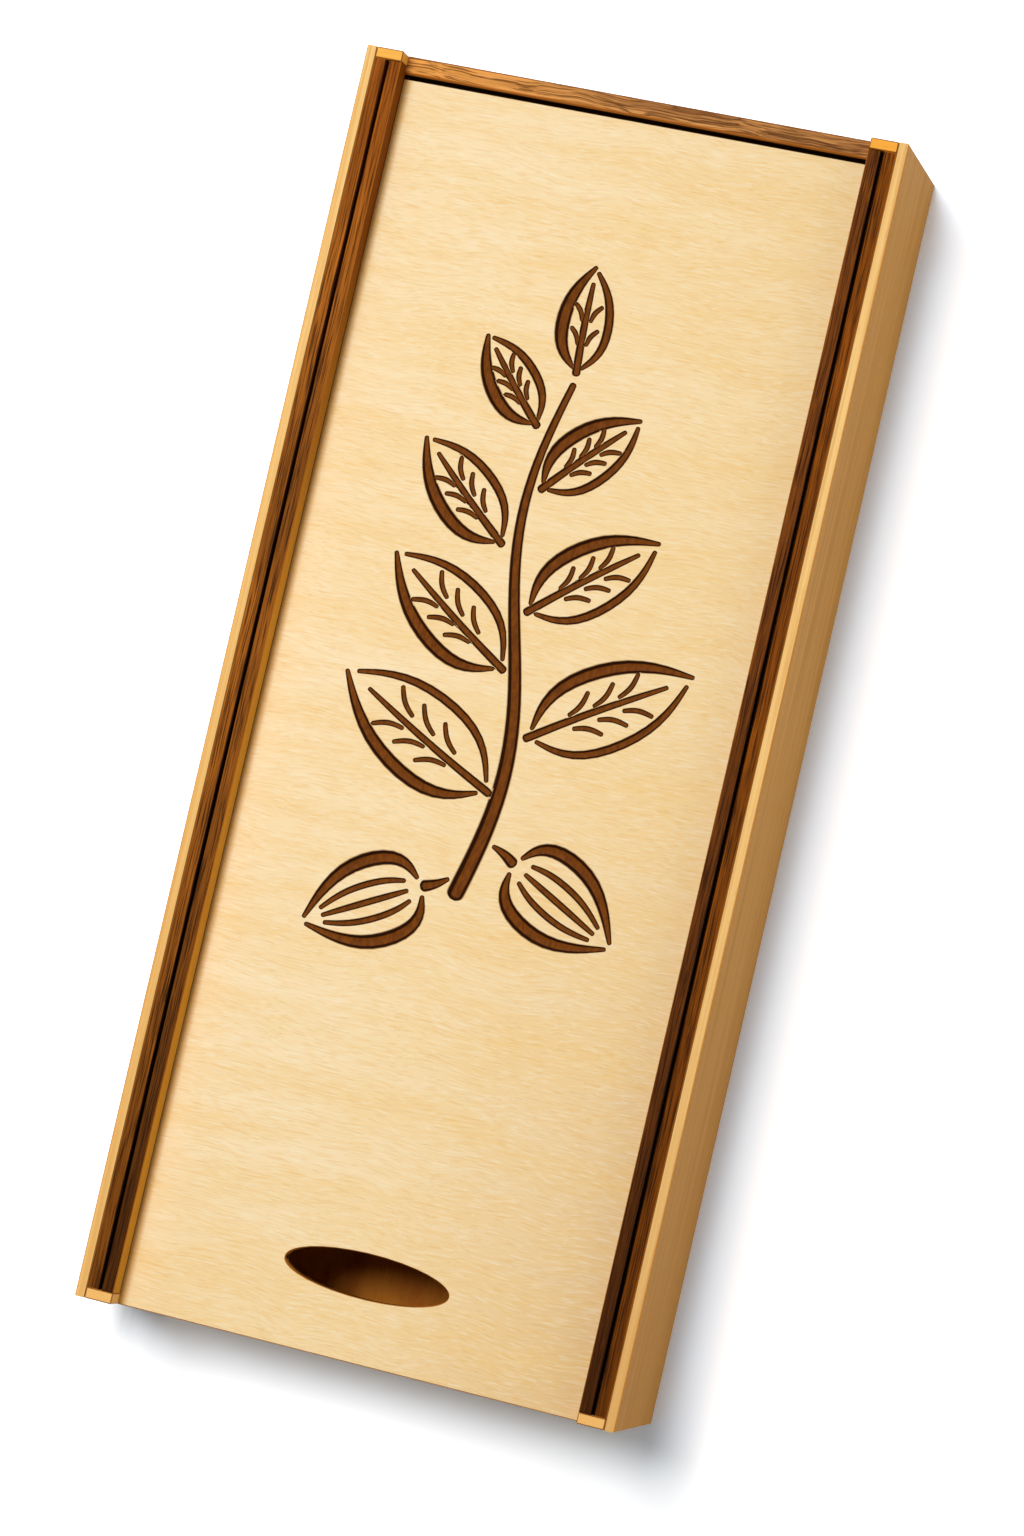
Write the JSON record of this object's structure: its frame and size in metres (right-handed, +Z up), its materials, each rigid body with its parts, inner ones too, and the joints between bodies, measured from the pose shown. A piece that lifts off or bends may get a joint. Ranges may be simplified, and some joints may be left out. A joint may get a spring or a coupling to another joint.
{
  "type": "sliding-lid box",
  "caption": "Slim plywood keepsake box with layered side walls, burnt board edges and a flat lid that slides out at the front, pulled by an oval finger slot.",
  "frame": {"origin": "centre of the box's underside", "axes": "+Z up, +Y along the length towards the closed back, -Y to the front where the lid slides out, +X to the right"},
  "size_m": [0.15, 0.343, 0.05],
  "materials": {
    "birch_ply": "bare birch plywood with laser-browned edges",
    "pale_board": "pale board sanded smooth, grain along its length",
    "burnt_ply": "plywood with a laser-burnt dark brown edge",
    "honey_block": "honey-coloured block, sanded",
    "lid_birch": "bare birch face with a laser-engraved ornament"
  },
  "bodies": {
    "box": {"base_panel": "birch_ply", "left_side_panel": "pale_board", "right_side_panel": "pale_board", "left_liner": "burnt_ply", "right_liner": "burnt_ply", "left_rail": "burnt_ply", "right_rail": "burnt_ply", "left_ledge": "birch_ply", "right_ledge": "birch_ply", "left_back_post": "honey_block", "right_back_post": "honey_block", "left_front_post": "honey_block", "right_front_post": "honey_block", "left_front_cap": "honey_block", "right_front_cap": "honey_block", "back_panel": "burnt_ply", "front_panel": "birch_ply"},
    "lid": {"lid": "lid_birch"}
  },
  "joints": [
    {"name": "lid_slide", "type": "slide", "parent": "box", "child": "lid", "axis": [0, -1, 0], "range_m": [-0.0009, 0.338]}
  ]
}
